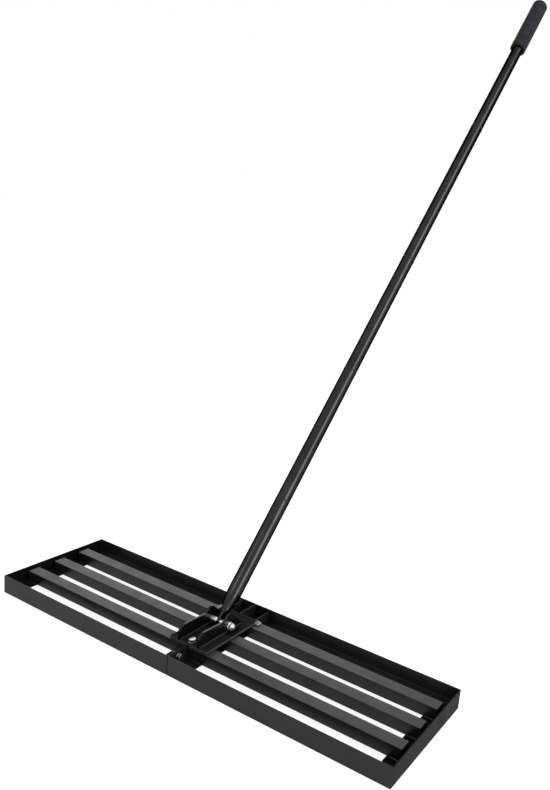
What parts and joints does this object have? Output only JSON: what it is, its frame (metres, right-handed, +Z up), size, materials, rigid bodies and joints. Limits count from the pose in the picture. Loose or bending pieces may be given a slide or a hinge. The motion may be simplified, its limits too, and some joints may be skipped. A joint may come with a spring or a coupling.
{
  "type": "lawn leveling rake",
  "caption": "Lawn leveling rake: flat black steel frame of cross bars in bolted halves, a clevis bracket with a pivot bolt, and a long sectional tube handle with a foam grip.",
  "frame": {"origin": "on the ground under the middle of the head, on the seam between its halves", "axes": "+X along the head's length, +Y from the head's front to the side where the handle leans, +Z up"},
  "size_m": [0.914, 1.4196, 1.4913],
  "materials": {
    "black_coat": "semi-gloss black powder coat on steel",
    "handle_coat": "glossy black coat on steel tube",
    "zinc": "bright zinc plate",
    "black_plastic": "moulded black plastic",
    "foam": "matte closed-cell foam"
  },
  "bodies": {
    "head": {"left_front_rail": "black_coat", "left_back_rail": "black_coat", "left_outer_end": "black_coat", "left_inner_end": "black_coat", "left_front_bar": "black_coat", "left_middle_bar": "black_coat", "left_rear_bar": "black_coat", "left_stay": "black_coat", "right_front_rail": "black_coat", "right_back_rail": "black_coat", "right_outer_end": "black_coat", "right_inner_end": "black_coat", "right_front_bar": "black_coat", "right_middle_bar": "black_coat", "right_rear_bar": "black_coat", "right_stay": "black_coat", "bracket_base": "black_coat", "left_ear": "black_coat", "right_ear": "black_coat", "seam_bolts": "zinc", "seam_washers": "zinc", "seam_nuts": "zinc", "bracket_bolt": "zinc", "bracket_washer": "zinc", "bracket_nut": "zinc", "pivot_bolt": "zinc", "pivot_washers": "zinc", "pivot_nut": "zinc", "pivot_spacers": "zinc"},
    "handle": {"handle_foot": "handle_coat", "handle_section_1": "handle_coat", "handle_section_2": "handle_coat", "handle_section_3": "handle_coat", "handle_section_4": "handle_coat", "handle_section_5": "handle_coat", "section_connectors": "black_plastic", "section_sockets": "black_plastic", "handle_plug": "black_plastic", "handle_grip": "foam"}
  },
  "joints": [
    {"name": "handle_pivot", "type": "hinge", "parent": "head", "child": "handle", "pos_m": [0, 0.0115, 0.047], "axis": [-1, 0, 0], "range_deg": [-118, 38]}
  ]
}
